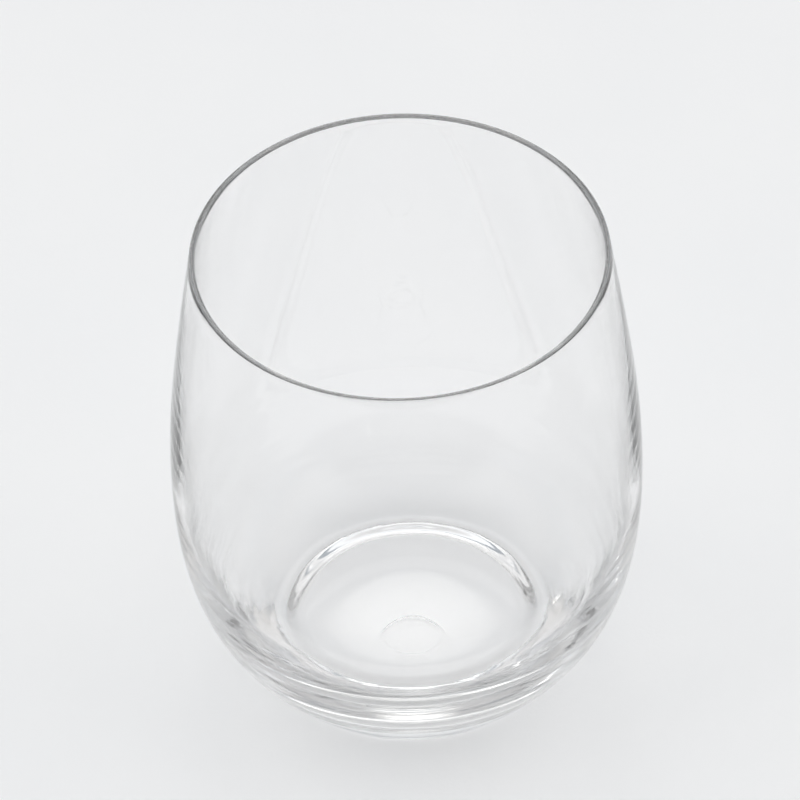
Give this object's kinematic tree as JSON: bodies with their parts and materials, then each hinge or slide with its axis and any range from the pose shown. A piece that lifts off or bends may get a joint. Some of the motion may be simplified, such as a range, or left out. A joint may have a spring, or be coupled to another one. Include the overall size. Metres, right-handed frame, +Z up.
{
  "type": "stemless wine glass",
  "caption": "Clear stemless wine glass: a rounded bowl that narrows to a fine, rounded lip and stands on a thick, slightly hollowed foot.",
  "frame": {"origin": "on the axis of the glass, in the plane that the foot ring stands on", "axes": "+Z up along the axis of the glass, through the middle of the mouth; the glass is round, so X and Y are free"},
  "size_m": [0.0822, 0.0822, 0.0923],
  "materials": {
    "clear_glass": "fire-polished, clear and colourless"
  },
  "bodies": {
    "root": {"bowl": "clear_glass"}
  },
  "joints": []
}
